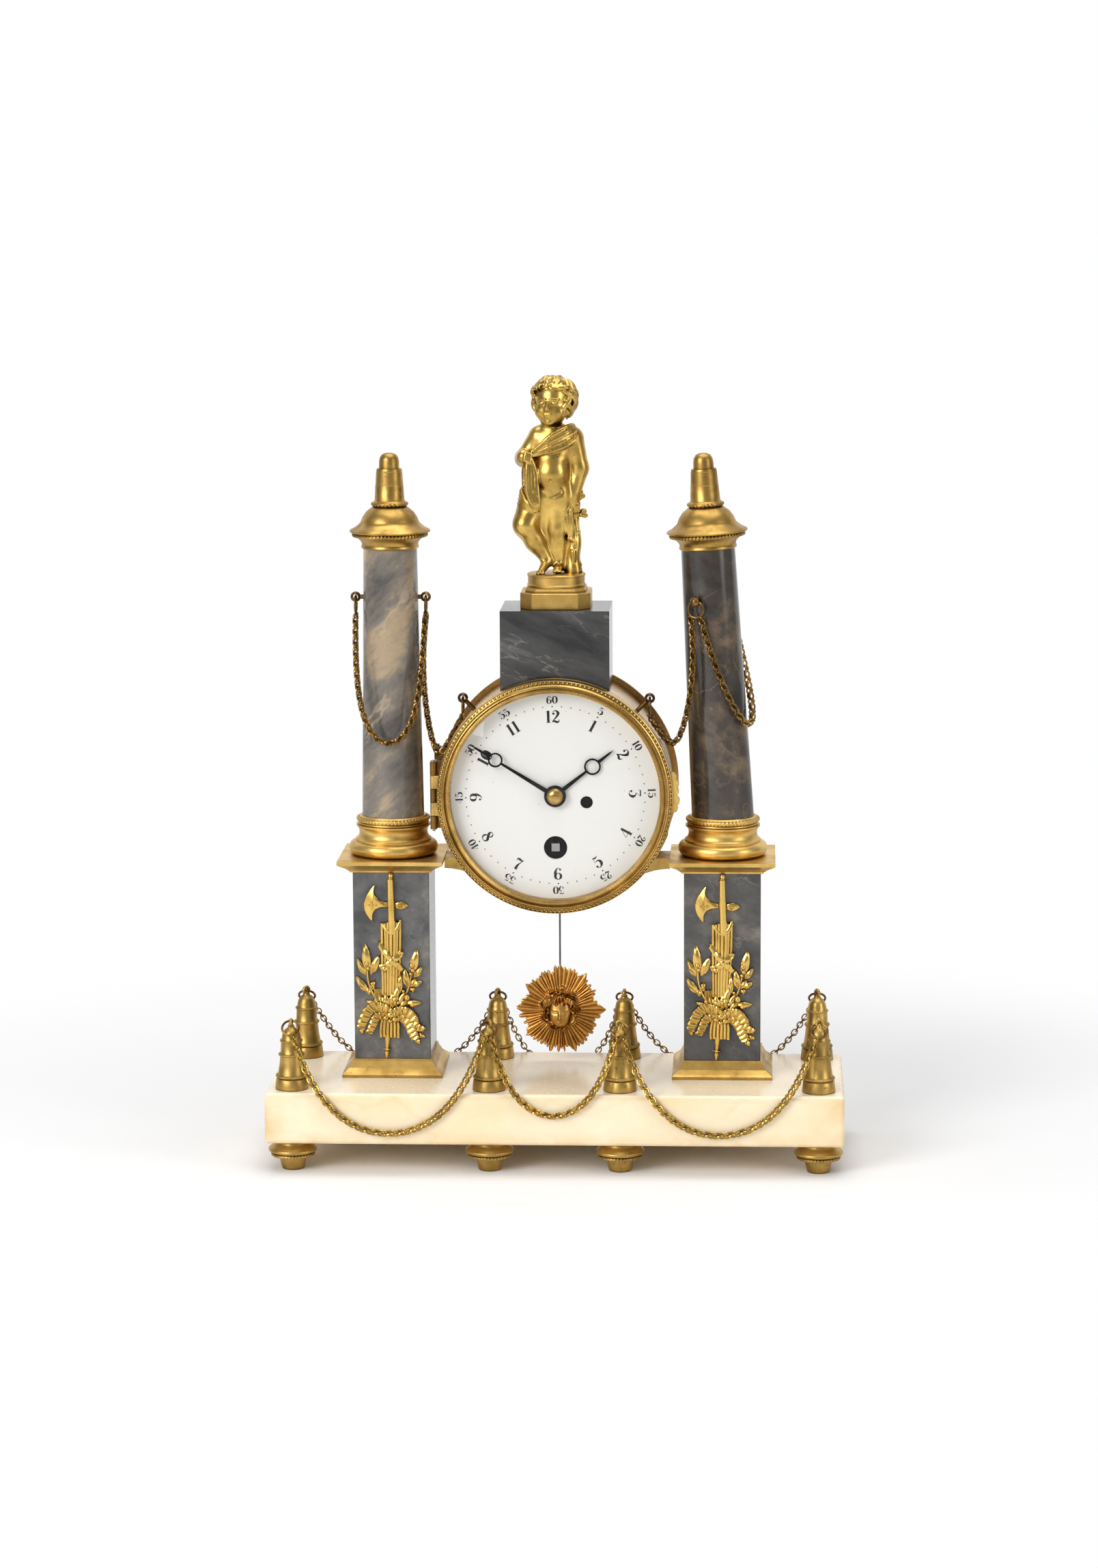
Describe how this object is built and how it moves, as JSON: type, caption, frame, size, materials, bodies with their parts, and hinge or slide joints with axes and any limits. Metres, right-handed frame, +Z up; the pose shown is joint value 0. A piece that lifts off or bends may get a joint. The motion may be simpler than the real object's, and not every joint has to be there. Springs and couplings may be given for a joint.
{
  "type": "portico mantel clock",
  "caption": "Portico mantel clock with marble columns, a drum movement under a figure, chain-hung bollards round the base and a sun pendulum",
  "frame": {"origin": "under the middle of the base, on the plane the feet stand on", "axes": "+Z up, the dial faces -Y, +X to the viewer's right"},
  "size_m": [0.305, 0.1074, 0.4178],
  "materials": {
    "marble_cream": "polished",
    "marble_grey": "polished",
    "marble_dark": "polished",
    "gilt_brass": "aged gilt",
    "bright_brass": "polished",
    "dark_brass": "aged",
    "chain_brass": "polished",
    "enamel": "gloss",
    "glass": "polished",
    "blued_steel": "blued",
    "steel": "machined",
    "train_brass": "machined",
    "bob_bronze": "patinated"
  },
  "bodies": {
    "case": {"base_slab": "marble_cream", "feet": "gilt_brass", "bollards": "gilt_brass", "bollard_rods": "steel", "chain_rings": "dark_brass", "front_chain_left": "chain_brass", "front_chain_middle": "chain_brass", "front_chain_right": "chain_brass", "rear_chains": "dark_brass", "pedestal_feet": "gilt_brass", "left_pedestal": "marble_grey", "right_pedestal": "marble_grey", "left_trophy": "gilt_brass", "right_trophy": "gilt_brass", "pedestal_caps": "gilt_brass", "column_bases": "gilt_brass", "left_shaft": "marble_grey", "right_shaft": "marble_grey", "column_finials": "gilt_brass", "column_hooks": "dark_brass", "left_column_chains": "chain_brass", "right_column_chains": "chain_brass", "tie_rods": "steel", "drum_case": "gilt_brass", "drum_brackets": "gilt_brass", "drum_hooks": "dark_brass", "hinge_leaf": "dark_brass", "hinge_pins": "steel", "latch_strap": "dark_brass", "top_block": "marble_dark", "figure_plinth": "gilt_brass", "putto": "bright_brass", "dial": "enamel", "dial_ring": "gilt_brass", "front_plate": "train_brass", "back_plate": "train_brass", "pillars": "train_brass", "back_cock": "train_brass"},
    "bezel_door": {"bezel": "bright_brass", "glass": "glass", "bezel_latch": "bright_brass"},
    "rear_door": {"rear_cover": "gilt_brass"},
    "minute_hand_set": {"cannon_pinion": "steel", "minute_hand": "blued_steel", "hand_collet": "bright_brass"},
    "minute_wheel_set": {"minute_wheel": "train_brass"},
    "hour_hand_set": {"hour_wheel": "train_brass", "hour_hand": "blued_steel"},
    "spring_barrel": {"barrel": "train_brass", "mainspring": "blued_steel"},
    "winding_set": {"winding_arbor": "steel"},
    "click_set": {"click": "steel"},
    "intermediate_set": {"intermediate_wheel": "train_brass"},
    "centre_set": {"centre_wheel": "train_brass"},
    "third_set": {"third_wheel": "train_brass"},
    "escape_set": {"escape_wheel": "train_brass"},
    "pallet_set": {"pallets_crutch": "steel"},
    "pendulum": {"pendulum_rod": "bob_bronze", "sun_bob": "bob_bronze"}
  },
  "joints": [
    {"name": "bezel_hinge", "type": "hinge", "parent": "case", "child": "bezel_door", "pos_m": [-0.0642, -0.0134, 0.1964], "axis": [0, 0, -1], "range_deg": [0, 100]},
    {"name": "rear_door_hinge", "type": "hinge", "parent": "case", "child": "rear_door", "pos_m": [-0.0659, 0.0418, 0.1964], "axis": [0, 0, 1], "range_deg": [0, 100]},
    {"name": "minute_hand_turn", "type": "hinge", "parent": "case", "child": "minute_hand_set", "pos_m": [0, 0.01, 0.1964], "axis": [0, 1, 0], "continuous": true},
    {"name": "minute_wheel_turn", "type": "hinge", "parent": "case", "child": "minute_wheel_set", "pos_m": [-0.0048, 0.01, 0.20471], "axis": [0, 1, 0], "continuous": true},
    {"name": "hour_hand_turn", "type": "hinge", "parent": "case", "child": "hour_hand_set", "pos_m": [0, 0.01, 0.1964], "axis": [0, 1, 0], "continuous": true},
    {"name": "third_wheel_turn", "type": "hinge", "parent": "case", "child": "third_set", "pos_m": [0.01165, 0.01, 0.20513], "axis": [0, 1, 0], "continuous": true},
    {"name": "escape_wheel_turn", "type": "hinge", "parent": "case", "child": "escape_set", "pos_m": [0, 0.01, 0.21159], "axis": [0, 1, 0], "continuous": true},
    {"name": "centre_wheel_turn", "type": "hinge", "parent": "case", "child": "centre_set", "pos_m": [0, 0.01, 0.1964], "axis": [0, 1, 0], "continuous": true},
    {"name": "intermediate_wheel_turn", "type": "hinge", "parent": "case", "child": "intermediate_set", "pos_m": [-0.01461, 0.01, 0.18551], "axis": [0, 1, 0], "continuous": true},
    {"name": "barrel_turn", "type": "hinge", "parent": "case", "child": "spring_barrel", "pos_m": [0, 0.01, 0.1684], "axis": [0, 1, 0], "continuous": true},
    {"name": "winding_turn", "type": "hinge", "parent": "case", "child": "winding_set", "pos_m": [0, 0.01, 0.1684], "axis": [0, 1, 0], "range_deg": [0, 1656]},
    {"name": "click_swing", "type": "hinge", "parent": "case", "child": "click_set", "pos_m": [-0.01212, 0.01, 0.1754], "axis": [0, 1, 0], "range_deg": [0, 10]},
    {"name": "pendulum_swing", "type": "hinge", "parent": "case", "child": "pendulum", "pos_m": [0, 0.0295, 0.2222], "axis": [0, 1, 0], "range_deg": [-3, 3]},
    {"name": "pallet_swing", "type": "hinge", "parent": "case", "child": "pallet_set", "pos_m": [0, 0.02, 0.2222], "axis": [0, 1, 0], "range_deg": [-3, 3]}
  ],
  "couplings": [
    {"joint": "minute_wheel_turn", "follows": "minute_hand_turn", "ratio": -0.33333},
    {"joint": "hour_hand_turn", "follows": "minute_hand_turn", "ratio": 0.083333},
    {"joint": "escape_wheel_turn", "follows": "third_wheel_turn", "ratio": -12.875},
    {"joint": "centre_wheel_turn", "follows": "third_wheel_turn", "ratio": -0.083333},
    {"joint": "intermediate_wheel_turn", "follows": "third_wheel_turn", "ratio": 0.010417},
    {"joint": "barrel_turn", "follows": "third_wheel_turn", "ratio": -0.0013021},
    {"joint": "pallet_swing", "follows": "pendulum_swing", "ratio": 1}
  ]
}
